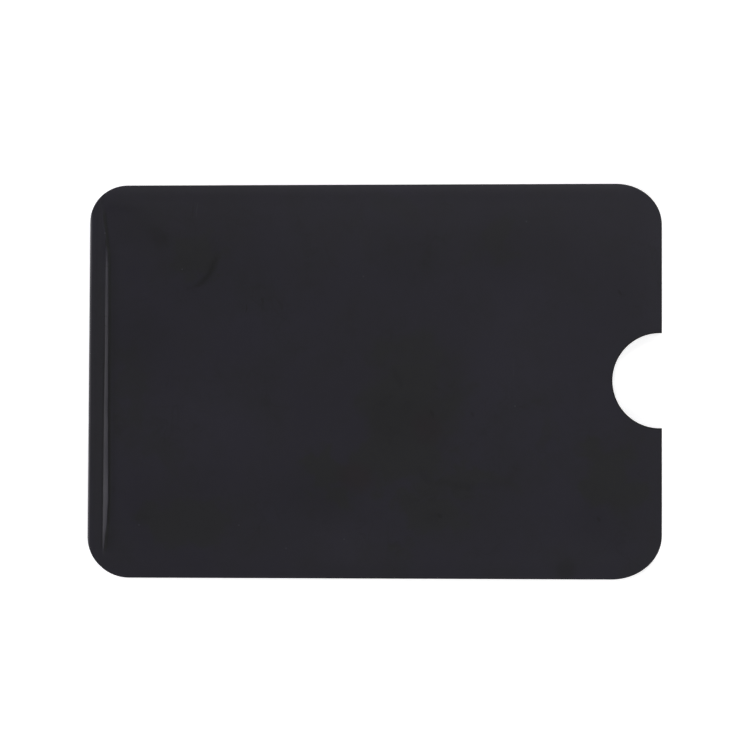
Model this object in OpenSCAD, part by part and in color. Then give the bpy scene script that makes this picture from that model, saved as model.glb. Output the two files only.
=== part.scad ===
// Card sleeve of a folded paper and foil laminate, open at one short end.
// It lies flat: X runs from the fold to the mouth, Y across, Z up through the two leaves.
// The origin is under the middle of the sleeve, on the surface that it rests on.

/* [Outline] */
// Length from the outermost point of the fold to the mouth
sleeve_l = 92; // [70:0.5:120]
// Width across the two long edges
sleeve_w = 63; // [50:0.5:80]
// Radius of the corners at the fold
fold_corner_r = 6.4; // [3:0.1:10]
// Radius of the corners at the mouth
mouth_corner_r = 7.2; // [3:0.1:10]
// Angle in degrees by which the fold runs out of square
fold_skew = 0.5; // [0:0.1:1]

/* [Thumb notch] */
// Radius of the notch that is cut through both leaves
notch_r = 7.6; // [5:0.1:12]
// Depth of the notch, measured in from the mouth
notch_depth = 8; // [4:0.1:12]

/* [Laminate] */
// Thickness of the matt outer film
film_t = 0.04; // [0.03:0.01:0.1]
// Thickness of the paper core
paper_t = 0.16; // [0.1:0.01:0.3]
// Thickness of the coat that ties the foil to the paper
tie_t = 0.03; // [0.02:0.01:0.06]
// Thickness of the aluminium foil
foil_t = 0.02; // [0.02:0.01:0.05]
// Thickness of the inner liner
liner_t = 0.05; // [0.02:0.01:0.1]

/* [Sealed bands] */
// Thickness of the adhesive between the leaves
bond_t = 0.1; // [0.06:0.01:0.2]
// Width of the band along each long edge
side_seal_w = 2.5; // [1.5:0.1:4]
// Width of the band along the fold
end_seal_w = 2.5; // [1.5:0.1:4]

/* [Pocket] */
// Thickness of the card that the pocket takes
card_t = 0.76; // [0.5:0.01:1]
// Spare depth round the card
card_clearance = 0.24; // [0.1:0.01:0.4]
// Distance over which a leaf rises beside a long edge
side_rise_l = 1.8; // [1.2:0.1:4]
// Distance over which a leaf rises beside the fold
end_rise_l = 0.75; // [0.5:0.05:2]
// Inside radius of the soft bends beside a long edge
side_bend_r = 2; // [0.5:0.1:4]
// Inside radius of the creases beside the fold
end_bend_r = 0.15; // [0.1:0.05:0.5]

/* [Smoothness] */
// Flat strips in one bend
bend_steps = 4; // [2:1:6]
// Flat strips round the fold, an even number
fold_steps = 8; // [8:2:12]
// Sides of a full circle
$fn = 128; // [64:8:200]

/* [Hidden] */

// Distances of the plies' faces from the inner face of the laminate
liner_top = liner_t;
foil_top = liner_top + foil_t;
tie_top = foil_top + tie_t;
paper_top = tie_top + paper_t;
film_top = paper_top + film_t;

// Heights measured from the middle plane to the inner face, in the pocket and in a sealed band
pocket_half = (card_t + card_clearance) / 2;
bond_half = bond_t / 2;
rise = pocket_half - bond_half;
middle_z = pocket_half + film_top;

// Share of a rise that its two bends may take up
bend_share = 0.98;

// Bends of the inner face: the foot bends round the outer face, so there it has the larger radius
side_turn = atan2(rise, side_rise_l);
side_r = fitted_r(side_bend_r, rise, side_rise_l);
side_foot_tangent = (side_r + film_top) * tan(side_turn / 2);
side_crest_tangent = side_r * tan(side_turn / 2);
end_turn = atan2(rise, end_rise_l);
end_r = fitted_r(end_bend_r, rise, end_rise_l);
end_foot_tangent = (end_r + film_top) * tan(end_turn / 2);
end_crest_tangent = end_r * tan(end_turn / 2);

// Across the sleeve: inner edge of the band, sharp foot and crest of the rise, edge of the flat panel
side_seal_y = sleeve_w / 2 - side_seal_w;
side_foot_y = side_seal_y - side_foot_tangent;
side_crest_y = side_foot_y - side_rise_l;
panel_y = side_crest_y - side_crest_tangent;

// Along the sleeve, the same places as distances from the axis that the fold turns about
fold_reach = bond_half + film_top / cos(90 / fold_steps);
end_seal_x = end_seal_w - fold_reach;
end_foot_x = end_seal_x + end_foot_tangent;
end_crest_x = end_foot_x + end_rise_l;
panel_x = end_crest_x + end_crest_tangent;

// Centres of the round corners: the upper one at the fold lies further in, because of the skew
mouth_corner = [sleeve_l / 2 - mouth_corner_r, sleeve_w / 2 - mouth_corner_r];
fold_corner_y = sleeve_w / 2 - fold_corner_r;
skew_shift = fold_corner_y * tan(fold_skew);
lower_fold_corner = [fold_corner_r - sleeve_l / 2, -fold_corner_y];
upper_fold_corner = [lower_fold_corner.x + 2 * skew_shift, fold_corner_y];
fold_axis_x = lower_fold_corner.x + skew_shift + (fold_reach - fold_corner_r) / cos(fold_skew);

// What sticks out past the die cut before it is trimmed
spare = 5;

/* Paths */

// The bend radius that leaves room for both bends of a rise
function fitted_r(r, height, run) =
    let (room = norm([height, run]) / tan(atan2(height, run) / 2))
    min(r, (bend_share * room - film_top) / 2);

function unit(v) = v / norm(v);

function turned(v, angle) =
    [v.x * cos(angle) - v.y * sin(angle), v.x * sin(angle) + v.y * cos(angle)];

// Normal on the right-hand side of the step from a to b
function side_of(a, b) = let (d = unit(b - a)) [d.y, -d.x];

// The corner a, b, c rounded by an arc in flat strips
function bend(a, b, c, r) =
    let (
        d = unit(b - a),
        e = unit(c - b),
        turn = atan2(d.x * e.y - d.y * e.x, d * e),
        start = b - d * r * tan(abs(turn) / 2),
        arm = r * sign(turn) * [d.y, -d.x]
    )
    [for (i = [0:bend_steps]) start - arm + turned(arm, turn * i / bend_steps)];

// The path moved to its right by t, with mitred corners, so that the plies nest face to face
function beside(path, t) =
    let (last = len(path) - 1)
    [for (i = [0:last])
        let (
            before = side_of(path[max(i - 1, 0)], path[max(i, 1)]),
            after = side_of(path[min(i, last - 1)], path[min(i + 1, last)])
        )
        path[i] + t * (before + after) / (1 + before * after)];

// The path run backwards, turned over to the back leaf or to the other long edge
function turned_over(path) = [for (i = [len(path) - 1:-1:0]) [path[i].x, -path[i].y]];

function other_edge(path) = [for (i = [len(path) - 1:-1:0]) [-path[i].x, path[i].y]];

// Inner face of the web in a section along the sleeve: front leaf, fold, back leaf
function web_path(mouth) =
    let (
        start = [mouth, pocket_half],
        crest = [end_crest_x, pocket_half],
        foot = [end_foot_x, bond_half],
        end = [0, bond_half],
        leaf = concat(
            [start],
            bend(start, crest, foot, end_r),
            bend(crest, foot, end, end_r + film_top),
            [end]
        ),
        round = [for (i = [1:fold_steps - 1]) turned(end, 180 * i / fold_steps)]
    )
    concat(leaf, round, turned_over(leaf));

// Inner face of the front leaf in a section across the sleeve, from one edge to the other
function cross_path(edge) =
    let (
        start = [edge, bond_half],
        foot = [side_foot_y, bond_half],
        crest = [side_crest_y, pocket_half],
        half = concat(
            [start],
            bend(start, foot, crest, side_r + film_top),
            bend(foot, crest, [0, pocket_half], side_r)
        )
    )
    concat(half, other_edge(half));

/* Plans, seen from above */

// What a round corner takes away, between its two tangent directions u and v
module corner_cut(centre, r, u, v) {
    far = 2 * r;
    difference() {
        polygon([centre, centre + far * u, centre + far * (u + v), centre + far * v]);
        translate(centre) circle(r);
    }
}

// The die cuts the long edges, the mouth, the notch and all the corners, and leaves the fold
module die_plan() {
    fold_out = [-cos(fold_skew), sin(fold_skew)];
    difference() {
        translate([-sleeve_l / 2 - spare, -sleeve_w / 2]) square([sleeve_l + spare, sleeve_w]);
        corner_cut(upper_fold_corner, fold_corner_r, fold_out, [0, 1]);
        corner_cut(lower_fold_corner, fold_corner_r, fold_out, [0, -1]);
        corner_cut(mouth_corner, mouth_corner_r, [1, 0], [0, 1]);
        corner_cut([mouth_corner.x, -mouth_corner.y], mouth_corner_r, [1, 0], [0, -1]);
        translate([sleeve_l / 2 - notch_depth + notch_r, 0]) circle(notch_r);
    }
}

// Strip along the fold, out to distance x from its axis
module fold_strip(x) {
    translate([fold_axis_x, 0]) rotate(-fold_skew)
        translate([-2 * spare, -sleeve_w]) square([2 * spare + x, 2 * sleeve_w]);
}

// Strip along the middle of the sleeve, from -y to y
module middle_strip(y) {
    translate([-sleeve_l, -y]) square([2 * sleeve_l, 2 * y]);
}

// Strip along the upper or the lower long edge, beyond distance y from the middle
module edge_strip(y, upper) {
    translate([-sleeve_l, upper ? y : -sleeve_w]) square([2 * sleeve_l, sleeve_w - y]);
}

module panel_plan() {
    difference() {
        middle_strip(panel_y);
        fold_strip(panel_x);
    }
}

/* Solids */

// All that lies inside the face at distance t from the inner face, on both leaves
module inside(t) {
    // a smaller t reaches further past the die cut, so that no two ends share a plane
    over = spare - t;
    along = beside(web_path(sleeve_l / 2 - fold_axis_x + over), t);
    across = beside(cross_path(sleeve_w / 2 + over), t);
    intersection() {
        translate([fold_axis_x, 0, middle_z]) rotate([90, 0, -fold_skew])
            linear_extrude(sleeve_w + 2 * over, center = true) polygon(along);
        translate([0, 0, middle_z]) rotate([90, 0, 90])
            linear_extrude(sleeve_l + 4 * over, center = true)
                polygon(concat(across, turned_over(across)));
    }
}

// One ply of the folded web, die cut
module ply(inner, outer) {
    intersection() {
        difference() {
            inside(outer);
            inside(inner);
        }
        linear_extrude(2 * middle_z) die_plan();
    }
}

// The first child between two heights, where the plan given by the second child covers it
module piece(low, high) {
    intersection() {
        children(0);
        translate([0, 0, low]) linear_extrude(high - low) children(1);
    }
}

module front_panel(inner, outer) {
    piece(middle_z, 2 * middle_z) {
        ply(inner, outer);
        panel_plan();
    }
}

module back_panel(inner, outer) {
    piece(0, middle_z) {
        ply(inner, outer);
        panel_plan();
    }
}

// The sloping sides and the flat bands of both leaves along a long edge
module long_edge(inner, outer, upper) {
    piece(0, 2 * middle_z) {
        ply(inner, outer);
        difference() {
            edge_strip(panel_y, upper);
            fold_strip(panel_x);
        }
    }
}

// The fold, with the flat bands and the bevels of both leaves beside it
module fold_edge(inner, outer) {
    piece(0, 2 * middle_z) {
        ply(inner, outer);
        fold_strip(panel_x);
    }
}

// Adhesive that fills the space between the leaves over a plan
module bond() {
    piece(0, 2 * middle_z) {
        inside(0);
        intersection() {
            die_plan();
            children();
        }
    }
}

/* Nodes */

module front_film() {
    color("#29292d") front_panel(paper_top, film_top);
}

module back_film() {
    color("#29292d") back_panel(paper_top, film_top);
}

module upper_edge_film() {
    color("#29292d") long_edge(paper_top, film_top, true);
}

module lower_edge_film() {
    color("#29292d") long_edge(paper_top, film_top, false);
}

module fold_film() {
    color("#29292d") fold_edge(paper_top, film_top);
}

module front_paper() {
    color("#34343a") front_panel(tie_top, paper_top);
}

module back_paper() {
    color("#34343a") back_panel(tie_top, paper_top);
}

module upper_edge_paper() {
    color("#34343a") long_edge(tie_top, paper_top, true);
}

module lower_edge_paper() {
    color("#34343a") long_edge(tie_top, paper_top, false);
}

module fold_paper() {
    color("#34343a") fold_edge(tie_top, paper_top);
}

module tie_coat() {
    color("#e4e2dc") ply(foil_top, tie_top);
}

module foil_shield() {
    color("#b9bcc0") ply(liner_top, foil_top);
}

module inner_liner() {
    color("#a3a6aa") ply(0, liner_top);
}

module upper_seal() {
    color("#d8cfae") bond() edge_strip(side_seal_y, true);
}

module lower_seal() {
    color("#d8cfae") bond() edge_strip(side_seal_y, false);
}

module fold_seal() {
    color("#d8cfae") bond() intersection() {
        fold_strip(end_seal_x);
        middle_strip(side_seal_y);
    }
}

front_film();
back_film();
upper_edge_film();
lower_edge_film();
fold_film();
front_paper();
back_paper();
upper_edge_paper();
lower_edge_paper();
fold_paper();
tie_coat();
foil_shield();
inner_liner();
upper_seal();
lower_seal();
fold_seal();
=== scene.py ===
# Matt black card sleeve: a paper and foil laminate, folded at one end, sealed on three sides.
import math

import bmesh
import bpy
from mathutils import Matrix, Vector, noise


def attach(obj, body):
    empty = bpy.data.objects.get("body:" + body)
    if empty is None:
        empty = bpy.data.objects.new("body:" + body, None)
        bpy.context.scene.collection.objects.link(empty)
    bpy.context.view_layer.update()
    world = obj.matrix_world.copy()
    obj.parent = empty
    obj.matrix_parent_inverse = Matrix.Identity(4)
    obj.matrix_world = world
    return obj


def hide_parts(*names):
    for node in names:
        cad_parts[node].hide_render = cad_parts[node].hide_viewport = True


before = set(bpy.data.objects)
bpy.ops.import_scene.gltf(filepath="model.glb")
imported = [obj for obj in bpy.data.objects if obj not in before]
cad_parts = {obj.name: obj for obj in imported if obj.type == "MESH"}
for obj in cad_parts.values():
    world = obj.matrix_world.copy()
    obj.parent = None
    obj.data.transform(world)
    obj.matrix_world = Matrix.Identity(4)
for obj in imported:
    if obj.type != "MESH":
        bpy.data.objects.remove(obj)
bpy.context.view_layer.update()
print("frame loaded:", len(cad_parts), "nodes")

mm = 0.001

# The die-cut outline seen from above; lengths in millimetres everywhere below
outline = {
    "mouthX": 46.0,
    "halfWidth": 31.5,
    "foldTipX": -45.781,  # outermost line of the fold, at the middle of the sleeve
    "foldSkew": 0.5,  # degrees
    "foldLowerRadius": 6.75,
    "foldUpperRadius": 6.1,
    "mouthLowerRadii": (8.0, 7.0),  # along the sleeve and across it
    "mouthUpperRadii": (7.3, 6.5),
    "notchCentreX": 45.72,
    "notchCentreY": 0.14,
    "notchRadius": 7.56,
    "arcStep": 3.0,  # degrees
}

# The rolled fold: the web goes round it as half an ellipse
roll = {
    "reach": 0.25,  # of the inner face, past the line where the leaves end
    "totalReach": 0.55,  # of the outer face
    "webLength": 1.4,
    "strips": 14,
    "straightY": 20.0,  # beyond this the rows slide, so that each ply ends on the die's wall
}

# The two leaves, as heights of their inner faces from the middle plane
leaf = {
    "middleZ": 0.8,
    "sealHalfGap": 0.05,  # half the thickness of the adhesive
    "pocketHalfGap": 0.5,
    "foldBulge": 0.02,  # at the roll, and a little more at its top, before it falls to the seal
    "foldBulgeTop": 0.07,
    "foldBulgeTopAt": 0.5,
    "foldBulgeRun": 1.6,
    "sealWidth": 2.5,
    "sideRun": 16.0,  # from a side seal to the pocket's full height
    "minimumBlend": 0.25,  # how softly two rises meet
    "overRise": 1.08,  # a rise aims a little over the full height, so that it is still bending there
    "backRun": 3.0,  # from the fold's seal to the full height, in the back leaf
    "mouthDroop": 0.09,
    "mouthDroopRun": 2.4,
    "topDroop": 0.22,
    "topDroopRun": 3.6,
    "rollingDepth": 0.03,  # the gentle unevenness of an empty pocket
    "rollingStart": 3.0,
    "rollingRun": 12.0,
    "rollingSideRun": 8.0,
    "longWave": (26.0, 19.0),  # along the sleeve and across it
    "shortWave": (11.0, 9.0),
    "slopeStep": 0.3,
}

# The ridge beside the fold: a bevel with a lip behind it. The flat web has straight columns, at
# the distances given first; the lines below bend them to where the ridge really runs
ridge = {
    "startAt": 1.2,
    "footAt": 1.95,
    "crestAt": 2.45,
    "endAt": 4.4,
    "unevenness": 0.12,  # of the crest, as a share of its height
    "footGroove": 0.02,
    "footGrooveWidth": 0.16,
    "grooveFrom": 0.1,  # the crest's height where the groove begins
    "lip": 0.15,  # how far the film falls behind the crest
    "lipWidth": 0.3,
    "fullLipFrom": 0.2,  # the crest's height where the lip is whole
    "leastLip": 0.6,  # share of it that the crease keeps where the ridge dies out
    "lipEndY": 28.4,
    "afterLip": 0.03,  # a slower fall behind the lip
    "afterLipWidth": 0.8,
    "leadIn": 14.0,  # from the crest to the pocket's full height
    "waver": 0.035,  # how far the ridge strays from its line
    "waverLength": 2.6,
    "waverEndY": 28.0,
    "waverEndRun": 4.0,
    # across the sleeve, from the lower edge up: foot, crest, and the crest's height over the seal
    "lines": (
        (-31.5, 1.95, 2.45, 0.0), (-30.0, 1.95, 2.45, 0.0), (-28.6, 1.97, 2.02, 0.0),
        (-27.2, 1.97, 2.05, 0.02), (-25.4, 1.97, 2.3, 0.13), (-22.3, 1.97, 2.71, 0.3),
        (-18.3, 1.98, 2.85, 0.36), (-10.0, 1.99, 2.72, 0.27), (-2.9, 2.01, 2.63, 0.215),
        (6.0, 2.09, 2.58, 0.18), (13.1, 2.06, 2.54, 0.16), (18.0, 2.08, 2.46, 0.14),
        (20.4, 2.08, 2.38, 0.075), (21.6, 1.95, 2.16, 0.02), (22.9, 1.82, 2.02, 0.02),
        (24.2, 1.68, 1.87, 0.03), (25.5, 1.45, 1.61, 0.03), (26.6, 1.34, 1.48, 0.02),
        (27.6, 1.34, 1.48, 0.01), (29.2, 1.6, 1.9, 0.0), (30.4, 1.95, 2.45, 0.0), (31.5, 1.95, 2.45, 0.0),
    ),
}


def smooth(share):
    share = min(max(share, 0.0), 1.0)
    return share * share * (3.0 - 2.0 * share)


def eased(start, end, share):
    return start + (end - start) * smooth(share)


def softMinimum(first, second):
    # the smaller of two heights, with a rounded corner where they cross
    low, high = min(first, second), max(first, second)
    reach = leaf["minimumBlend"] * low + 1e-9
    overlap = max(reach - (high - low), 0.0) / reach
    return low - overlap * overlap * reach / 4.0


def along(table, place, column):
    # a value from one column of a table whose rows start with a place
    for before, after in zip(table, table[1:]):
        if place <= after[0]:
            share = (place - before[0]) / (after[0] - before[0])
            return eased(before[column], after[column], share)
    return table[-1][column]


skew = math.tan(math.radians(outline["foldSkew"]))
axisX = outline["foldTipX"] + roll["totalReach"]
fullRise = leaf["pocketHalfGap"] - leaf["sealHalfGap"]
sealEdgeY = outline["halfWidth"] - leaf["sealWidth"]


def foldCorner(upper):
    # centre and radius of the die's arc at one end of the fold
    radius = outline["foldUpperRadius"] if upper else outline["foldLowerRadius"]
    centreY = (outline["halfWidth"] - radius) * (1 if upper else -1)
    centreX = outline["foldTipX"] + centreY * skew + radius / math.cos(math.radians(outline["foldSkew"]))
    return centreX, centreY, radius


def dieWallY(upper, reach):
    # where that arc crosses the line that lies this far out on the roll
    centreX, centreY, radius = foldCorner(upper)
    startX = axisX - reach - centreX
    a = 1.0 + skew * skew
    b = startX * skew - centreY
    c = startX * startX + centreY * centreY - radius * radius
    root = math.sqrt(max(b * b - a * c, 0.0))
    return (-b + root) / a if upper else (-b - root) / a


def arc(centre, radii, start, end):
    count = max(2, math.ceil(abs(end - start) / outline["arcStep"]))
    turns = [math.radians(start + (end - start) * i / count) for i in range(count + 1)]
    return [(centre[0] + radii[0] * math.cos(t), centre[1] + radii[1] * math.sin(t)) for t in turns]


def rollAngle(upper):
    # where on the arc at one end of the fold the roll starts, in degrees
    centreX, centreY, _ = foldCorner(upper)
    wallY = dieWallY(upper, 0.0)
    return math.degrees(math.atan2(wallY - centreY, axisX + wallY * skew - centreX))


def leafOutline():
    # one leaf, from the lower end of the roll round the mouth to the upper end
    mouthX, halfWidth = outline["mouthX"], outline["halfWidth"]
    centreX, centreY, radius = foldCorner(False)
    points = arc((centreX, centreY), (radius, radius), rollAngle(False), -90.0)
    rx, ry = outline["mouthLowerRadii"]
    points += arc((mouthX - rx, ry - halfWidth), (rx, ry), -90.0, 0.0)
    notch, notchX, notchY = outline["notchRadius"], outline["notchCentreX"], outline["notchCentreY"]
    half = math.degrees(math.acos((mouthX - notchX) / notch))
    points += arc((notchX, notchY), (notch, notch), -half, half - 360.0)
    rx, ry = outline["mouthUpperRadii"]
    points += arc((mouthX - rx, halfWidth - ry), (rx, ry), 0.0, 90.0)
    centreX, centreY, radius = foldCorner(True)
    points += arc((centreX, centreY), (radius, radius), 90.0, rollAngle(True))
    return [(x - axisX - y * skew, y) for x, y in points]


# Where the flat web is cut into cells: columns by their distance from the fold, rows by their y
cuts = {
    "frontColumns": (
        0.25, 0.5, 0.85, 1.2, 1.55, 1.79, 1.87, 1.95, 2.0, 2.1, 2.2, 2.3, 2.4, 2.45,
        2.5, 2.55, 2.6, 2.65, 2.7, 2.75, 2.85, 3.0, 3.2, 3.5, 3.9, 4.4, 5.5, 7.0, 8.8, 10.6, 12.4,
    ),
    "frontSpreads": ((14.0, 24.0, 0.45), (26.0, 86.0, 2.5)),  # start, end, step
    "mouthColumns": (87.5, 88.5, 89.2, 89.8, 90.4),
    "backColumns": (0.25, 0.5, 0.85, 1.2, 1.6, 1.95, 2.6, 3.4, 4.4, 6.2),
    "backSpread": (9.0, 90.0, 3.0),
    "rowSpreads": ((-31.0, -21.5, 0.5), (-20.5, 14.0, 1.0), (14.6, 21.4, 0.4), (22.0, 31.0, 0.5)),
    "notchRow": 7.0,
}


def spread(start, end, step):
    # even places from start to end, about a step apart
    count = max(1, round((end - start) / step))
    return [start + (end - start) * i / count for i in range(count + 1)]


def flatWeb():
    # the laminate laid out flat: front leaf, roll and back leaf in one sheet, cut into cells
    front = leafOutline()
    back = [(-roll["webLength"] - w, y) for w, y in reversed(front)]
    sheet = bmesh.new()
    sheet.faces.new([sheet.verts.new((w, y, 0.0)) for w, y in front + back])
    columns = list(cuts["frontColumns"])
    for start, end, step in cuts["frontSpreads"]:
        columns += spread(start, end, step)
    columns += cuts["mouthColumns"]
    columns += [-roll["webLength"] - w for w in list(cuts["backColumns"]) + spread(*cuts["backSpread"])]
    columns += [-roll["webLength"] * i / roll["strips"] for i in range(roll["strips"] + 1)]
    rows = []
    for start, end, step in cuts["rowSpreads"]:
        rows += spread(start, end, step)
    rows += [sealEdgeY, -sealEdgeY, -cuts["notchRow"], cuts["notchRow"]]
    planes = [((w, 0, 0), (1, 0, 0)) for w in columns] + [((0, y, 0), (0, 1, 0)) for y in rows]
    for spot, normal in planes:
        everything = sheet.verts[:] + sheet.edges[:] + sheet.faces[:]
        bmesh.ops.bisect_plane(sheet, geom=everything, dist=0.01, plane_co=spot, plane_no=normal)
    sheet.verts.index_update()
    places = [(round(v.co.x, 4) + 0.0, v.co.y) for v in sheet.verts]  # exactly 0 where the roll starts
    cells = [[v.index for v in face.verts] for face in sheet.faces]
    sheet.free()
    return places, cells


def bentColumn(v, y):
    # where a column of the flat web really runs
    inside = smooth((ridge["waverEndY"] - abs(y)) / ridge["waverEndRun"])
    waver = ridge["waver"] * inside * noise.noise(Vector((y / ridge["waverLength"], 0.3, 5.1)))
    knots = (
        (ridge["startAt"], ridge["startAt"]),
        (ridge["footAt"], along(ridge["lines"], y, 1) + 0.5 * waver),
        (ridge["crestAt"], along(ridge["lines"], y, 2) + waver),
        (ridge["endAt"], ridge["endAt"]),
    )
    for (v0, w0), (v1, w1) in zip(knots, knots[1:]):
        if v0 < v < v1 or v == v1:
            return w0 + (v - v0) * (w1 - w0) / (v1 - v0)
    return v


# A crescent pressed into the front leaf by a fingernail
crescent = {
    "path": (
        (-24.6, 20.6), (-25.2, 19.6), (-25.7, 18.3), (-26.3, 17.1),
        (-27.2, 16.0), (-28.4, 15.3), (-29.6, 15.0),
    ),
    "halfWidth": 0.85,
    "depth": 0.035,
    "endWidth": 0.35,  # share of the width at the tips, and how soon it is whole
    "endWidthRun": 3.0,
    "endDepth": 0.4,
    "endDepthRun": 2.0,
}


def crescentDepth(x, y):
    # how deep the fingernail pressed, from the nearest stretch of its path
    nearest, signed = 1e9, 0.0
    for (ax, ay), (bx, by) in zip(crescent["path"], crescent["path"][1:]):
        dx, dy = bx - ax, by - ay
        share = min(max(((x - ax) * dx + (y - ay) * dy) / (dx * dx + dy * dy), 0.0), 1.0)
        offX, offY = x - ax - share * dx, y - ay - share * dy
        gap = math.hypot(offX, offY)
        if gap < nearest:
            nearest, signed = gap, gap if dx * offY - dy * offX > 0 else -gap
    ends = min(math.hypot(x - crescent["path"][end][0], y - crescent["path"][end][1]) for end in (0, -1))
    width = crescent["halfWidth"] * eased(crescent["endWidth"], 1.0, ends / crescent["endWidthRun"])
    depth = crescent["depth"] * eased(crescent["endDepth"], 1.0, ends / crescent["endDepthRun"])
    return depth * smooth(1.0 - abs(signed / width))


def sideRise(y):
    # how far a leaf has risen off the seal at this distance from the side seals
    share = min(max((sealEdgeY - abs(y)) / leaf["sideRun"], 0.0), 1.0)
    return fullRise * leaf["overRise"] * (1.0 - (1.0 - share) ** 2)


def foldBulge(w):
    # how much fuller the leaves are beside the roll, where the stiff web won't lie flat
    low, high, topAt = leaf["foldBulge"], leaf["foldBulgeTop"], leaf["foldBulgeTopAt"]
    if w < topAt:
        return eased(low, high, w / topAt)
    return eased(high, 0.0, (w - topAt) / (leaf["foldBulgeRun"] - topAt))


def frontHeight(v, x, y):
    # inner face of the front leaf over the middle plane
    crest = along(ridge["lines"], y, 3)
    crest *= 1.0 + ridge["unevenness"] * noise.noise(Vector((y / ridge["waverLength"], 4.2, 1.7)))
    foot, top = ridge["footAt"], ridge["crestAt"]
    if v <= foot:
        lift = 0.0
    elif v <= top:
        lift = crest * (v - foot) / (top - foot)
    else:
        least = ridge["leastLip"] * smooth(ridge["lipEndY"] - abs(y))
        share = max(min(crest / ridge["fullLipFrom"], 1.0), least)
        lip, afterLip = ridge["lip"] * share, ridge["afterLip"] * share
        lift = crest - lip * min((v - top) / ridge["lipWidth"], 1.0)
        lift -= afterLip * smooth((v - top - ridge["lipWidth"] / 2) / ridge["afterLipWidth"])
        lift += (fullRise * leaf["overRise"] - crest + lip + afterLip) * smooth((v - top) / ridge["leadIn"])
    gap = leaf["sealHalfGap"] + (min(fullRise, softMinimum(lift, sideRise(y))) if lift > 0 else lift)
    gap += foldBulge(v)
    if crest > ridge["grooveFrom"]:
        halfGroove = ridge["footGrooveWidth"] / 2
        gap -= ridge["footGroove"] * smooth(1.0 - abs(v - foot + halfGroove) / halfGroove)
    inside = smooth((v - leaf["rollingStart"]) / leaf["rollingRun"])
    inside *= smooth((sealEdgeY - abs(y)) / leaf["rollingSideRun"])
    longX, longY = leaf["longWave"]
    shortX, shortY = leaf["shortWave"]
    wave = noise.noise(Vector((x / longX, y / longY, 3.7)))
    wave += 0.5 * noise.noise(Vector((x / shortX, y / shortY, 8.1)))
    gap -= leaf["rollingDepth"] * inside * (0.5 + 0.5 * wave)
    gap -= leaf["mouthDroop"] * smooth(1.0 - (outline["mouthX"] - x) / leaf["mouthDroopRun"])
    return gap - crescentDepth(x, y)


def backHeight(w, x, y):
    # inner face of the back leaf under the middle plane: the pocket's panel lies flat on the table
    lift = fullRise * leaf["overRise"] * smooth((w - ridge["footAt"]) / leaf["backRun"])
    gap = leaf["sealHalfGap"] + min(fullRise, softMinimum(lift, sideRise(y)))
    return gap + foldBulge(w)


def edgeDroop(y):
    # both leaves sink a little towards the upper edge
    share = (y - outline["halfWidth"] + leaf["topDroopRun"]) / leaf["topDroopRun"]
    return -leaf["topDroop"] * max(share, 0.0) ** 3


def leafPoint(v, y):
    # inner face, and how far a millimetre of laminate reaches straight up where the leaf slopes
    front = v >= 0
    spot = v if front else -roll["webLength"] - v
    side = 1 if front else -1

    def height(at, across):
        w = bentColumn(at, across) if front else at
        x = axisX + w + across * skew
        shape = frontHeight(at, x, across) if front else backHeight(at, x, across)
        return x, side * shape + edgeDroop(across)

    x, z = height(spot, y)
    step = leaf["slopeStep"]
    x1, z1 = height(spot + step, y)
    x0, z0 = height(max(spot - step, 0.0), y)
    slopeX = (z1 - z0) / (x1 - x0)
    slopeY = (height(spot, y + step)[1] - height(spot, y - step)[1]) / (2 * step)
    return x, y, z, side, math.sqrt(1.0 + slopeX * slopeX + slopeY * slopeY)


def rollPoint(v, y, depth):
    # the roll, half an ellipse in section, this far out from the inner face
    turn = -v / roll["webLength"] * math.pi
    reach = (roll["reach"] + depth) * math.sin(turn)
    straight = roll["straightY"]
    if abs(y) > straight:
        upper = y > 0
        flatEnd, realEnd = abs(dieWallY(upper, 0.0)), abs(dieWallY(upper, reach))
        y = math.copysign(straight + (abs(y) - straight) * (realEnd - straight) / (flatEnd - straight), y)
    z = (leaf["sealHalfGap"] + leaf["foldBulge"] + depth) * math.cos(turn)
    return axisX + y * skew - reach, y, z + edgeDroop(y)


# Painted shade in the creases, as shares of full darkness
crease = {
    "startWidth": 0.12,  # from the crest to the darkest line behind it
    "darkWidth": 0.6,
    "darkEdge": 0.25,
    "upperDarkWidth": 0.54,  # where the ridge dies out
    "dyingY": 20.8,
    "dyingRun": 2.0,
    "fade": 0.3,  # behind the darkest line
    "fadeWidth": 2.2,
    "fadeEndY": 23.5,
    "fadeEndRun": 2.0,
    "atFoot": 0.9,
    "footWidth": 0.16,
    "footEndY": 8.0,
    "footEndRun": 6.0,
    "upperEndY": 28.0,
    "upperEndRun": 1.6,
    "lowerEndY": -27.6,
    "lowerEndRun": 1.2,
    "inCrescent": 0.8,
}


def creaseShade(v, y):
    # how much painted shade darkens the film: behind the ridge's lip, in the groove at its foot and in the
    # crescent
    if v < 0:
        return 0.0
    behind = v - ridge["crestAt"]
    dying = (y - crease["dyingY"]) / crease["dyingRun"]
    darkWidth = eased(crease["darkWidth"], crease["upperDarkWidth"], dying)
    fade = crease["fade"] * smooth((crease["fadeEndY"] - y) / crease["fadeEndRun"])
    shade = eased(fade, 1.0, (darkWidth - behind) / crease["darkEdge"])
    shade *= smooth(behind / crease["startWidth"])
    shade *= smooth((crease["fadeWidth"] - behind) / (crease["fadeWidth"] - crease["darkWidth"]))
    before = abs(v - ridge["footAt"] + 0.5 * crease["footWidth"])
    foot = crease["atFoot"] * smooth(1.0 - before / crease["footWidth"])
    foot *= smooth((crease["footEndY"] - y) / crease["footEndRun"])
    shade = max(shade, foot) * smooth((crease["upperEndY"] - y) / crease["upperEndRun"])
    shade *= smooth((y - crease["lowerEndY"]) / crease["lowerEndRun"])
    x = axisX + bentColumn(v, y) + y * skew
    return max(shade, crease["inCrescent"] * crescentDepth(x, y) / crescent["depth"])


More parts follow.
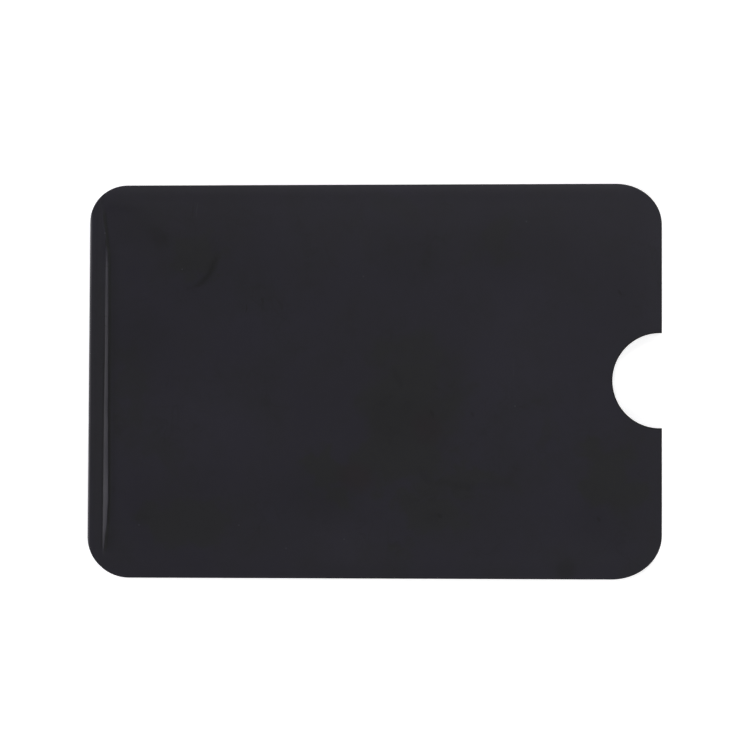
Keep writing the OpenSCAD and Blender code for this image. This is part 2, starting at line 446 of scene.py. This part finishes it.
places, cells = flatWeb()
shaped = [None if -roll["webLength"] < v < 0 else leafPoint(v, y) for v, y in places]
print("web laid out:", len(places), "points,", len(cells), "cells")


def webPoint(index, depth):
    # a point of the web, this far out from the laminate's inner face, in metres
    if shaped[index] is None:
        x, y, z = rollPoint(*places[index], depth)
    else:
        x, y, z, side, stretch = shaped[index]
        z += side * depth * stretch
    return x * mm, y * mm, (leaf["middleZ"] + z) * mm


def makeSolid(name, faces, topOf, bottomOf):
    # two skins and the wall between them, with sharp rims and smooth faces
    used = sorted({i for face in faces for i in face})
    order = {old: new for new, old in enumerate(used)}
    count = len(used)
    points = [topOf(i) for i in used] + [bottomOf(i) for i in used]
    top = [[order[i] for i in face] for face in faces]
    bottom = [[order[i] + count for i in reversed(face)] for face in faces]
    sides = {}
    for face in top:
        for a, b in zip(face, face[1:] + face[:1]):
            if (b, a) in sides:
                del sides[(b, a)]
            else:
                sides[(a, b)] = True
    walls = [[b, a, a + count, b + count] for a, b in sides]
    mesh = bpy.data.meshes.new(name)
    mesh.from_pydata(points, [], top + bottom + walls)
    mesh.validate()
    rims = {frozenset(pair) for pair in sides}
    rims |= {frozenset((a + count, b + count)) for a, b in sides}
    for edge in mesh.edges:
        edge.use_edge_sharp = frozenset(edge.vertices) in rims
    mesh.polygons.foreach_set("use_smooth", [True] * len(mesh.polygons))
    piece = bpy.data.objects.new(name, mesh)
    bpy.context.scene.collection.objects.link(piece)
    return piece


def makePly(ply):
    outer, inner = ply["outer"], ply["inner"]
    return makeSolid(ply["name"], cells, lambda i: webPoint(i, outer), lambda i: webPoint(i, inner))


def shadeCreases(piece):
    # the outer skin's points come first, in the order of the web's own
    shade = [creaseShade(v, y) for v, y in places]
    shade += [0.0] * (len(piece.data.vertices) - len(shade))
    piece.data.attributes.new("crease", "FLOAT", "POINT").data.foreach_set("value", shade)


def hexColour(code):
    # sRGB hex to the linear values that the shaders use
    values = [int(code[i:i + 2], 16) / 255 for i in (1, 3, 5)]
    return [v / 12.92 if v <= 0.04045 else ((v + 0.055) / 1.055) ** 2.4 for v in values] + [1.0]


def addNode(tree, kind, settings=None, links=None):
    node = tree.nodes.new(kind)
    for key, value in (settings or {}).items():
        if isinstance(key, str) and hasattr(node, key):
            setattr(node, key, value)
        else:
            node.inputs[key].default_value = value
    for key, source in (links or {}).items():
        tree.links.new(source, node.inputs[key])
    return node


def perMetre(sizeInMm):
    # a noise scale whose features are about this many millimetres across
    return 1.0 / (sizeInMm * mm)


noiseLow, noiseHigh = 0.3, 0.7  # nearly all of a noise texture lies between these


def newMaterial(name, shaderSettings):
    material = bpy.data.materials.new(name)
    material.use_nodes = True
    tree = material.node_tree
    tree.nodes.clear()
    shader = addNode(tree, "ShaderNodeBsdfPrincipled", shaderSettings)
    addNode(tree, "ShaderNodeOutputMaterial", None, {"Surface": shader.outputs[0]})
    place = addNode(tree, "ShaderNodeTexCoord").outputs["Object"]
    return material, tree, shader, place


# Matt polypropylene film, laminated under heat: an even, soft black with a breath of violet,
# that goes greyer and a shade darker where fingers have rubbed it
film = {
    "name": "outerFilm", "inner": 0.26, "outer": 0.3, "slot": "matt_film",
    "nodes": ("front_film", "back_film", "upper_edge_film", "lower_edge_film", "fold_film"),
    "colour": "#14121b",
    "clearColour": "#16141f",
    "rubbedColour": "#131316",
    "shadeAndGrimeColour": "#010104",
    "scratchAndGlintColour": "#2c2b31",
    "paleColour": "#1d1b26",
    "roughness": 0.42,
    "roughnessSpread": 0.03,
    "cloudSize": 22.0,
    "cloudRange": (0.35, 0.65),
    "mottleSize": 8.0,
    "mottleRange": (0.45, 0.72),
    "mottleShade": 0.45,
    "grainSize": 0.35,  # the real grain is 0.03 mm, too fine to show
    "grainDepth": 0.0012,
    "smearSize": 7.0,
    "smearReach": 22.0,  # how far the smears pull the rubbed places out of shape
    "scuffWander": 1.6,  # and how far they bend the scratches
    "crinkleSize": 5.0,
    "crinkleWidth": 0.02,  # as a share of the noise's range
    "crinkleRange": (0.5, 0.62),
    "crinkleShade": 0.22,
    "rimWidth": 0.15,
    "rimShade": 0.75,
}
# Rubbed places, as soft ellipses with ragged edges: centre, half length and width, turn, strength
filmRubs = (
    ((6.3, -2.9), (9.0, 10.0), 0, 1.0), ((0.7, -12.6), (12.5, 4.5), 15, 1.0),
    ((15.1, -15.8), (7.5, 3.0), 0, 0.9), ((9.5, -21.4), (5.5, 3.3), 0, 0.9),
    ((37.9, -15.8), (5.0, 6.0), 0, 1.0), ((18.7, 24.3), (3.0, 5.5), 0, 0.8),
    ((-27.3, 20.3), (3.5, 4.2), 0, 0.9), ((-31.3, -21.4), (6.8, 4.0), 0, 0.9),
    ((-39.3, 0.3), (2.0, 9.0), 0, 0.6), ((-34.5, -10.2), (4.0, 3.2), 0, 0.5),
    ((28.0, -7.8), (2.4, 3.4), 0, 0.6), ((3.1, 26.7), (5.0, 3.0), 0, 0.4),
    ((-6.5, -14.5), (5.0, 3.2), 10, 0.9),
)
# Faint paler and darker areas: centre, half length and width, turn, and strength, below 0 darker
filmTones = (
    ((-28.0, -7.5), (19.0, 8.0), 0, 0.4), ((22.5, 3.5), (9.0, 15.0), 0, 0.35),
    ((-4.0, -26.0), (7.0, 4.0), 0, 0.4), ((-38.0, 7.5), (6.0, 6.0), 0, -0.25),
    ((-26.0, 20.0), (14.0, 9.0), 0, -0.2), ((6.0, 20.0), (7.0, 6.0), 0, -0.25),
    ((22.0, 21.0), (10.0, 6.0), 0, -0.25), ((4.0, -6.0), (8.0, 4.0), 0, -0.2),
    ((-10.0, -18.0), (8.0, 4.0), 0, -0.2), ((36.0, -22.0), (6.0, 5.0), 0, -0.15),
    ((45.5, 14.0), (4.0, 14.0), 0, 0.3),
)
# Stains and worn film: centre, half length and width, turn, strength, colour
filmStains = (
    ((-44.4, 0.0), (2.4, 30.0), 0, 0.8, "#17161b"), ((8.8, -7.2), (2.6, 3.2), 20, 0.8, "#150e14"),
    ((-2.6, -15.3), (3.4, 2.6), -20, 0.75, "#150e14"), ((-39.0, 26.0), (5.0, 5.0), 0, 0.5, "#121018"),
    ((30.8, -29.9), (1.7, 2.2), 0, 0.75, "#0a0910"),
)
# Scratches, small dirt and painted shade in the ridge's crease: start, end, half width, and strength, above
# 0 lighter and below 0 darker
filmScuffsAndCreaseShade = (
    ((-28.2, 29.0), (-28.2, 26.3), 0.12, 0.4), ((-28.8, 29.0), (-28.8, 26.3), 0.14, -0.6),
    ((22.4, 3.4), (22.4, 0.0), 0.1, 0.35), ((-20.2, 12.4), (-20.2, 11.1), 0.16, -0.8),
    ((-17.5, 13.5), (-17.3, 12.6), 0.22, -0.8), ((7.5, -13.6), (9.1, -15.8), 0.8, -0.25),
    ((9.1, -15.8), (16.0, -17.0), 0.8, -0.25), ((16.0, -17.0), (21.1, -16.4), 0.8, -0.22),
    ((21.1, -16.4), (22.8, -14.3), 0.7, -0.2), ((3.1, 2.3), (4.6, -1.3), 0.7, -0.35),
    ((39.3, 14.3), (39.6, 14.0), 0.35, -0.8), ((10.7, -21.3), (10.9, -21.5), 0.4, -0.8),
    ((9.6, -4.6), (9.9, -5.4), 0.35, -0.6), ((15.8, -5.3), (16.1, -5.7), 0.3, -0.6),
    ((35.8, -21.9), (36.2, -22.3), 0.35, -0.6), ((-35.0, 23.5), (-33.6, 22.6), 1.8, -0.3),
    # the last four: painted shade in the crease behind the ridge
    ((-43.0, 21.6), (-42.85, 23.2), 0.3, -1.0), ((-43.2, 18.7), (-42.7, 18.6), 0.2, -1.0),
    ((-43.2, 10.4), (-42.8, 10.3), 0.2, -1.0), ((-43.2, 8.8), (-42.8, 8.7), 0.18, -1.0),
)
# Specks of dust, all of one size; the second is a painted highlight on a bump in the ridge's crease
filmSpecksAndGlint = (
    (24.5, 25.5), (-43.12, 23.85), (-1.5, 16.8), (-30.6, 18.0), (22.7, -3.9), (-37.6, -23.0),
    (-13.9, -26.7), (-21.5, -23.0), (-4.6, -25.2),
)
speckRadius = 0.15
# How each kind of mark fades out: where it ends and where it is whole, as shares of its ellipse
markEdges = {
    "rub": (1.1, 0.75, "LINEAR"), "tone": (1.3, 0.2, "SMOOTHSTEP"), "stain": (1.2, 0.4, "SMOOTHSTEP"),
    "scuff": (1.1, 0.3, "SMOOTHSTEP"), "dust": (1.1, 0.6, "LINEAR"),
}


def spotReach(tree, place, centre, halfSize, turn):
    # 0 in the middle of an ellipse on the sleeve, 1 on its edge
    local = addNode(tree, "ShaderNodeMapping", {
        "vector_type": "TEXTURE", "Location": (centre[0] * mm, centre[1] * mm, leaf["middleZ"] * mm),
        "Rotation": (0.0, 0.0, math.radians(turn)),
        "Scale": (halfSize[0] * mm, halfSize[1] * mm, 1.0)}, {"Vector": place})
    reach = addNode(tree, "ShaderNodeVectorMath", {"operation": "LENGTH"}, {0: local.outputs[0]})
    return reach.outputs["Value"]


def ellipseMark(tree, place, centre, halfSize, turn, strength, kind):
    # this strong in the middle of an ellipse on the sleeve, and 0 outside it
    reach = spotReach(tree, place, centre, halfSize, turn)
    end, whole, fade = markEdges[kind]
    return addNode(tree, "ShaderNodeMapRange", {
        "interpolation_type": fade, 1: end, 2: whole, 3: 0.0, 4: strength}, {0: reach}).outputs[0]


def summed(tree, parts):
    total = parts[0]
    for part in parts[1:]:
        total = addNode(tree, "ShaderNodeMath", {"operation": "ADD"}, {0: total, 1: part}).outputs[0]
    return total


def filmMaterial():
    material, tree, shader, place = newMaterial("mattLaminatedFilm", {"IOR": 1.5})
    # slow drift between two tones of the black
    clouds = addNode(tree, "ShaderNodeTexNoise", {
        "Scale": perMetre(film["cloudSize"]), "Detail": 3.0, "Roughness": 0.6}, {"Vector": place})
    low, high = film["cloudRange"]
    drift = addNode(tree, "ShaderNodeMapRange", {1: low, 2: high}, {0: clouds.outputs[0]})
    tone = addNode(tree, "ShaderNodeMix", {
        "data_type": "RGBA", 6: hexColour(film["colour"]), 7: hexColour(film["clearColour"])},
        {0: drift.outputs[0]}).outputs[2]
    # smears of noise, which break up the edges of the rubbed places and bend the scratches
    smear = addNode(tree, "ShaderNodeTexNoise", {
        "Scale": perMetre(film["smearSize"]), "Detail": 4.0, "Roughness": 0.65}, {"Vector": place})
    centred = addNode(tree, "ShaderNodeVectorMath", {"operation": "SUBTRACT", 1: (0.5, 0.5, 0.5)},
                      {0: smear.outputs["Color"]})
    smeared, wandering = [
        addNode(tree, "ShaderNodeVectorMath", {
            "operation": "MULTIPLY_ADD", 1: (reach * mm, reach * mm, reach * mm)},
            {0: centred.outputs[0], 2: place}).outputs[0]
        for reach in (film["smearReach"], film["scuffWander"])]
    # paler and darker areas, then what rubbing and stains do to the black
    pales, marks = [], []
    for centre, halfSize, turn, strength in filmTones:
        tint = ellipseMark(tree, place, centre, halfSize, turn, abs(strength), "tone")
        (pales if strength > 0 else marks).append(tint)
    rubs = [ellipseMark(tree, smeared, *rub, "rub") for rub in filmRubs]
    rubbed = addNode(tree, "ShaderNodeClamp", None, {0: summed(tree, rubs)}).outputs[0]
    layers = [(summed(tree, pales), film["paleColour"]), (rubbed, film["rubbedColour"])]
    for centre, halfSize, turn, strength, colour in filmStains:
        layers.append((ellipseMark(tree, place, centre, halfSize, turn, strength, "stain"), colour))
    # fine uneven mottle, a few per cent
    mottle = addNode(tree, "ShaderNodeTexNoise", {
        "Scale": perMetre(film["mottleSize"]), "Detail": 4.0, "Roughness": 0.7}, {"Vector": place})
    low, high = film["mottleRange"]
    marks.append(addNode(tree, "ShaderNodeMapRange", {
        1: low, 2: high, 3: 0.0, 4: film["mottleShade"]}, {0: mottle.outputs[0]}).outputs[0])
    # painted shade of fine handling creases that the mesh doesn't have: thin dark lines, here and there
    folds = addNode(tree, "ShaderNodeTexNoise", {
        "Scale": perMetre(film["crinkleSize"]), "Detail": 2.0, "Distortion": 0.6}, {"Vector": place})
    onLine = addNode(tree, "ShaderNodeMath", {"operation": "COMPARE", 1: 0.5, 2: film["crinkleWidth"]},
                     {0: folds.outputs[0]}).outputs[0]
    low, high = film["crinkleRange"]
    handled = addNode(tree, "ShaderNodeMapRange", {
        1: low, 2: high, 3: 0.0, 4: film["crinkleShade"]}, {0: smear.outputs[0]}).outputs[0]
    crinkles = addNode(tree, "ShaderNodeMath", {"operation": "MULTIPLY"}, {0: onLine, 1: handled})
    marks.append(crinkles.outputs[0])
    # scratches, small dirt, dust and one painted highlight; the crease marks among the dirt are painted
    # shade
    scratchesAndGlint = []
    for start, end, halfWidth, strength in filmScuffsAndCreaseShade:
        a, b = Vector(start), Vector(end)
        halfSize = ((b - a).length / 2 + halfWidth, halfWidth)
        turn = math.degrees(math.atan2(b.y - a.y, b.x - a.x))
        mark = ellipseMark(tree, wandering, (a + b) / 2, halfSize, turn, abs(strength), "scuff")
        (scratchesAndGlint if strength > 0 else marks).append(mark)
    for spot in filmSpecksAndGlint:
        scratchesAndGlint.append(ellipseMark(tree, place, spot, (speckRadius, speckRadius), 0, 1.0, "dust"))
    # painted shade behind the ridge, in its foot groove and in the crescent, from the mesh's crease
    # attribute
    marks.append(addNode(tree, "ShaderNodeAttribute", {"attribute_name": "crease"}).outputs["Fac"])
    # painted shade along the film's rim at the mouth and round the notch, where the die pressed it down
    rim, mouthX = film["rimWidth"], outline["mouthX"]
    acrossMouth = addNode(tree, "ShaderNodeSeparateXYZ", None, {0: place}).outputs["X"]
    marks.append(addNode(tree, "ShaderNodeMapRange", {
        1: (mouthX - 2 * rim) * mm, 2: (mouthX - rim) * mm, 3: 0.0, 4: film["rimShade"]},
        {0: acrossMouth}).outputs[0])
    notch, notchSpot = outline["notchRadius"], (outline["notchCentreX"], outline["notchCentreY"])
    roundNotch = spotReach(tree, place, notchSpot, (notch, notch), 0)
    marks.append(addNode(tree, "ShaderNodeMapRange", {
        1: 1 + 2 * rim / notch, 2: 1 + rim / notch, 3: 0.0, 4: film["rimShade"]},
        {0: roundNotch}).outputs[0])
    # one darkening for all: darker tones, mottle, dirt, and painted shade in the creases, crinkles and rims
    shadeAndGrime = addNode(tree, "ShaderNodeClamp", None, {0: summed(tree, marks)}).outputs[0]
    layers += [(shadeAndGrime, film["shadeAndGrimeColour"]), (summed(tree, scratchesAndGlint), film["scratchAndGlintColour"])]
    for share, colour in layers:
        tone = addNode(tree, "ShaderNodeMix", {"data_type": "RGBA", 7: hexColour(colour)},
                       {0: share, 6: tone}).outputs[2]
    tree.links.new(tone, shader.inputs["Base Color"])
    rough = addNode(tree, "ShaderNodeMapRange", {
        1: noiseLow, 2: noiseHigh, 3: film["roughness"] - film["roughnessSpread"],
        4: film["roughness"] + film["roughnessSpread"]}, {0: mottle.outputs[0]})
    tree.links.new(rough.outputs[0], shader.inputs["Roughness"])
    grain = addNode(tree, "ShaderNodeTexNoise", {
        "Scale": perMetre(film["grainSize"]), "Detail": 2.0}, {"Vector": place})
    bump = addNode(tree, "ShaderNodeBump", {"Strength": 1.0, "Distance": film["grainDepth"] * mm},
                   {"Height": grain.outputs[0]})
    tree.links.new(bump.outputs[0], shader.inputs["Normal"])
    return material


# Coated paper board, dyed black in the pulp: fibres a little lighter than the ground
paper = {
    "name": "paperCore", "inner": 0.1, "outer": 0.26, "slot": "paper_core",
    "nodes": ("front_paper", "back_paper", "upper_edge_paper", "lower_edge_paper", "fold_paper"),
    "colour": "#1b1b1e",
    "fibreColour": "#2e2d30",
    "fibreLength": 0.9,
    "fibreWidth": 0.12,  # three times the real width, so that it shows on the cut edge
    "fibreDepth": 0.01,
    "fibreRange": (0.45, 0.75),
}


def paperMaterial():
    material, tree, shader, place = newMaterial("blackDyedPaper", {"Roughness": 0.85, "IOR": 1.45})
    length, width = perMetre(paper["fibreLength"]), perMetre(paper["fibreWidth"])
    stretched = addNode(tree, "ShaderNodeMapping", {"Scale": (length, width, width)}, {"Vector": place})
    fibres = addNode(tree, "ShaderNodeTexNoise", {
        "Scale": 1.0, "Detail": 3.0, "Distortion": 0.8}, {"Vector": stretched.outputs[0]})
    low, high = paper["fibreRange"]
    share = addNode(tree, "ShaderNodeMapRange", {1: low, 2: high}, {0: fibres.outputs[0]})
    colour = addNode(tree, "ShaderNodeMix", {
        "data_type": "RGBA", 6: hexColour(paper["colour"]), 7: hexColour(paper["fibreColour"])},
        {0: share.outputs[0]})
    tree.links.new(colour.outputs[2], shader.inputs["Base Color"])
    bump = addNode(tree, "ShaderNodeBump", {"Strength": 0.6, "Distance": paper["fibreDepth"] * mm},
                   {"Height": fibres.outputs[0]})
    tree.links.new(bump.outputs[0], shader.inputs["Normal"])
    return material


# Polyethylene, extruded hot between the paper and the foil: milky, faintly streaked along the web
tie = {
    "name": "tieCoat", "inner": 0.07, "outer": 0.1, "slot": "tie_coat",
    "nodes": ("tie_coat",),
    "colour": "#e2dfd8",
    "streakColour": "#d3cfc6",
    "streakLength": 30.0,
    "streakWidth": 0.8,
}


def tieMaterial():
    material, tree, shader, place = newMaterial("extrudedPolyethylene", {"Roughness": 0.4, "IOR": 1.51})
    drawn = addNode(tree, "ShaderNodeMapping", {
        "Scale": (perMetre(tie["streakLength"]), perMetre(tie["streakWidth"]), perMetre(1.0))},
        {"Vector": place})
    streaks = addNode(tree, "ShaderNodeTexNoise", {
        "Scale": 1.0, "Detail": 2.0}, {"Vector": drawn.outputs[0]})
    colour = addNode(tree, "ShaderNodeMix", {
        "data_type": "RGBA", 6: hexColour(tie["colour"]), 7: hexColour(tie["streakColour"])},
        {0: streaks.outputs[0]})
    tree.links.new(colour.outputs[2], shader.inputs["Base Color"])
    return material


# Household-gauge aluminium foil, cold rolled: silver, with fine rolling lines along the web
foil = {
    "name": "foilShield", "inner": 0.05, "outer": 0.07, "slot": "foil",
    "nodes": ("foil_shield",),
    "colour": "#f3f4f4",
    "shadowColour": "#dcdee0",
    "roughness": (0.28, 0.4),
    "lineLength": 25.0,
    "lineWidth": 0.15,  # real rolling lines are 0.02 mm
    "lineDepth": 0.002,
}


def foilMaterial():
    material, tree, shader, place = newMaterial("rolledAluminiumFoil", {"Metallic": 1.0})
    drawn = addNode(tree, "ShaderNodeMapping", {
        "Scale": (perMetre(foil["lineLength"]), perMetre(foil["lineWidth"]), perMetre(1.0))},
        {"Vector": place})
    lines = addNode(tree, "ShaderNodeTexNoise", {"Scale": 1.0, "Detail": 3.0}, {"Vector": drawn.outputs[0]})
    colour = addNode(tree, "ShaderNodeMix", {
        "data_type": "RGBA", 6: hexColour(foil["colour"]), 7: hexColour(foil["shadowColour"])},
        {0: lines.outputs[0]})
    tree.links.new(colour.outputs[2], shader.inputs["Base Color"])
    smoothest, roughest = foil["roughness"]
    rough = addNode(tree, "ShaderNodeMapRange", {
        1: noiseLow, 2: noiseHigh, 3: smoothest, 4: roughest}, {0: lines.outputs[0]})
    tree.links.new(rough.outputs[0], shader.inputs["Roughness"])
    bump = addNode(tree, "ShaderNodeBump", {"Strength": 0.5, "Distance": foil["lineDepth"] * mm},
                   {"Height": lines.outputs[0]})
    tree.links.new(bump.outputs[0], shader.inputs["Normal"])
    return material


# Polyester liner, metallised by vapour and lacquered: the satin silver seen inside the mouth
liner = {
    "name": "innerLiner", "inner": 0.0, "outer": 0.05, "slot": "liner",
    "nodes": ("inner_liner",),
    "colour": "#c9cbd0",
    "cloudColour": "#b9bcc2",
    "cloudSize": 6.0,
    "roughness": (0.34, 0.44),
}


def linerMaterial():
    material, tree, shader, place = newMaterial("metallisedPolyester", {
        "Metallic": 0.75, "Coat Weight": 0.3, "Coat Roughness": 0.25})
    clouds = addNode(tree, "ShaderNodeTexNoise", {
        "Scale": perMetre(liner["cloudSize"]), "Detail": 3.0}, {"Vector": place})
    colour = addNode(tree, "ShaderNodeMix", {
        "data_type": "RGBA", 6: hexColour(liner["colour"]), 7: hexColour(liner["cloudColour"])},
        {0: clouds.outputs[0]})
    tree.links.new(colour.outputs[2], shader.inputs["Base Color"])
    smoothest, roughest = liner["roughness"]
    rough = addNode(tree, "ShaderNodeMapRange", {
        1: noiseLow, 2: noiseHigh, 3: smoothest, 4: roughest}, {0: clouds.outputs[0]})
    tree.links.new(rough.outputs[0], shader.inputs["Roughness"])
    return material


# Hot-melt adhesive, pressed flat between the leaves: straw coloured, cloudy where air was caught
adhesive = {
    "slot": "adhesive",
    "colour": "#d8cfae",
    "cloudColour": "#cbbf98",
    "cloudSize": 1.5,
    "bubbleSize": 0.5,
    "bubbleDepth": 0.01,
}


def adhesiveMaterial():
    material, tree, shader, place = newMaterial("pressedHotMelt", {
        "Roughness": 0.42, "IOR": 1.49, "Subsurface Weight": 0.15, "Subsurface Scale": 0.0003})
    clouds = addNode(tree, "ShaderNodeTexNoise", {
        "Scale": perMetre(adhesive["cloudSize"]), "Detail": 2.0}, {"Vector": place})
    colour = addNode(tree, "ShaderNodeMix", {
        "data_type": "RGBA", 6: hexColour(adhesive["colour"]), 7: hexColour(adhesive["cloudColour"])},
        {0: clouds.outputs[0]})
    tree.links.new(colour.outputs[2], shader.inputs["Base Color"])
    bubbles = addNode(tree, "ShaderNodeTexVoronoi", {
        "Scale": perMetre(adhesive["bubbleSize"])}, {"Vector": place})
    bump = addNode(tree, "ShaderNodeBump", {"Strength": 0.4, "Distance": adhesive["bubbleDepth"] * mm},
                   {"Height": bubbles.outputs["Distance"]})
    tree.links.new(bump.outputs[0], shader.inputs["Normal"])
    return material


def finishPiece(piece, nodes, material):
    piece.data.materials.append(material)
    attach(piece, "root")
    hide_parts(*nodes)


plyMaterials = (
    (film, filmMaterial), (paper, paperMaterial), (tie, tieMaterial),
    (foil, foilMaterial), (liner, linerMaterial),
)
for ply, makeMaterial in plyMaterials:
    piece = makePly(ply)
    if ply is film:
        shadeCreases(piece)
    finishPiece(piece, ply["nodes"], makeMaterial())
    print("ply made:", ply["name"])

# Three strips of adhesive between the leaves: node, and which cells of the front leaf each one fills
sealStrips = {
    "upperSeal": ("upper_seal", lambda v, y: v > 0 and y > sealEdgeY),
    "lowerSeal": ("lower_seal", lambda v, y: v > 0 and y < -sealEdgeY),
    "foldSeal": ("fold_seal", lambda v, y: 0 < v < ridge["footAt"] and abs(y) < sealEdgeY),
}


def undersideOf(index):
    # the back leaf's inner face, straight under a point of the front leaf
    v, y = places[index]
    x = shaped[index][0]
    w = x - axisX - y * skew
    return x * mm, y * mm, (leaf["middleZ"] - backHeight(w, x, y) + edgeDroop(y)) * mm


hotMelt = adhesiveMaterial()
for name, (node, inStrip) in sealStrips.items():
    chosen = []
    for cell in cells:
        centreV = sum(places[i][0] for i in cell) / len(cell)
        centreY = sum(places[i][1] for i in cell) / len(cell)
        if inStrip(centreV, centreY):
            chosen.append(cell)
    strip = makeSolid(name, chosen, lambda i: webPoint(i, 0.0), undersideOf)
    finishPiece(strip, (node,), hotMelt)
    print("seal made:", name, len(chosen), "cells")

# The studio: a white light table under four soft boxes
studio = {
    "tableColour": "#f4f4f4",
    "mottleColour": "#f2f2f2",
    "mottleSize": 40.0,
    "tableSize": 12.0,  # metres
    "tableZ": -0.0001,
    "tableGlow": 0.5,  # under the sleeve
    "farGlow": 1.0,  # where the soft boxes don't reach
    "farFrom": 0.5,  # metres from the middle
    "farAt": 0.75,
    "worldColour": "#ffffff",
    "worldStrength": 0.165,
}

half, tableZ = studio["tableSize"] / 2, studio["tableZ"]
tableMesh = bpy.data.meshes.new("tableTop")
tableCorners = [(x, y, tableZ) for x, y in ((-half, -half), (half, -half), (half, half), (-half, half))]
tableMesh.from_pydata(tableCorners, [], [(0, 1, 2, 3)])
table = bpy.data.objects.new("tableTop", tableMesh)
bpy.context.scene.collection.objects.link(table)
# Opal acrylic light table, sandblasted: matt white, with the faintest mottle and a low even glow
board, boardTree, boardShader, boardPlace = newMaterial("opalAcrylicTable", {
    "Roughness": 0.9, "IOR": 1.45, "Emission Color": (1.0, 1.0, 1.0, 1.0)})
fromMiddle = addNode(boardTree, "ShaderNodeVectorMath", {"operation": "LENGTH"}, {0: boardPlace})
glow = addNode(boardTree, "ShaderNodeMapRange", {
    1: studio["farFrom"], 2: studio["farAt"], 3: studio["tableGlow"], 4: studio["farGlow"]},
    {0: fromMiddle.outputs["Value"]})
boardTree.links.new(glow.outputs[0], boardShader.inputs["Emission Strength"])
mottle = addNode(boardTree, "ShaderNodeTexNoise", {
    "Scale": perMetre(studio["mottleSize"])}, {"Vector": boardPlace})
boardColour = addNode(boardTree, "ShaderNodeMix", {
    "data_type": "RGBA", 6: hexColour(studio["tableColour"]), 7: hexColour(studio["mottleColour"])},
    {0: mottle.outputs[0]})
boardTree.links.new(boardColour.outputs[2], boardShader.inputs["Base Color"])
table.data.materials.append(board)

world = bpy.data.worlds.new("studioAir")
bpy.context.scene.world = world
world.use_nodes = True
world.node_tree.nodes.clear()
air = addNode(world.node_tree, "ShaderNodeBackground", {
    "Color": hexColour(studio["worldColour"]), "Strength": studio["worldStrength"]})
addNode(world.node_tree, "ShaderNodeOutputWorld", None, {"Surface": air.outputs[0]})

# Soft boxes: where each stands in metres, its size, the radiance of its face, and its tint
softBoxes = {
    "leftBox": ((-0.95, 0.1, 0.3), 1.0, 2.0, (0.94, 0.92, 1.0)),
    "topBox": ((0.12, 0.66, 0.31), 0.7, 3.4, (1.0, 1.0, 1.0)),
    "bottomBox": ((0.12, -0.66, 0.28), 0.7, 3.3, (1.0, 1.0, 1.0)),
    "overheadBox": ((0.35, 0.3, 1.2), 0.9, 0.26, (1.0, 1.0, 1.0)),
}
for name, (spot, size, radiance, tint) in softBoxes.items():
    lamp = bpy.data.lights.new(name, "AREA")
    lamp.shape = "SQUARE"
    lamp.size = size
    lamp.color = tint
    lamp.energy = radiance * math.pi * size * size
    box = bpy.data.objects.new(name, lamp)
    box.location = spot
    box.rotation_euler = (-Vector(spot)).to_track_quat("-Z", "Y").to_euler()
    bpy.context.scene.collection.objects.link(box)

# A long lens from above, leaning a little towards the mouth
cameraSettings = {
    "distance": 0.45,  # metres
    "tilt": 3.2,  # degrees towards the mouth
    "lens": 135.04,
    "sensorWidth": 36.0,
    "aim": (0.00032, 0.00105, 0.0008),
}
lens = bpy.data.cameras.new("camera")
lens.lens = cameraSettings["lens"]
lens.sensor_width = cameraSettings["sensorWidth"]
camera = bpy.data.objects.new("camera", lens)
tilt = math.radians(cameraSettings["tilt"])
back = Vector((math.sin(tilt), 0.0, math.cos(tilt)))
camera.location = Vector(cameraSettings["aim"]) + back * cameraSettings["distance"]
camera.rotation_euler = (0.0, tilt, 0.0)
bpy.context.scene.collection.objects.link(camera)
bpy.context.scene.camera = camera
bpy.context.scene.view_settings.view_transform = "Standard"
print("studio set")
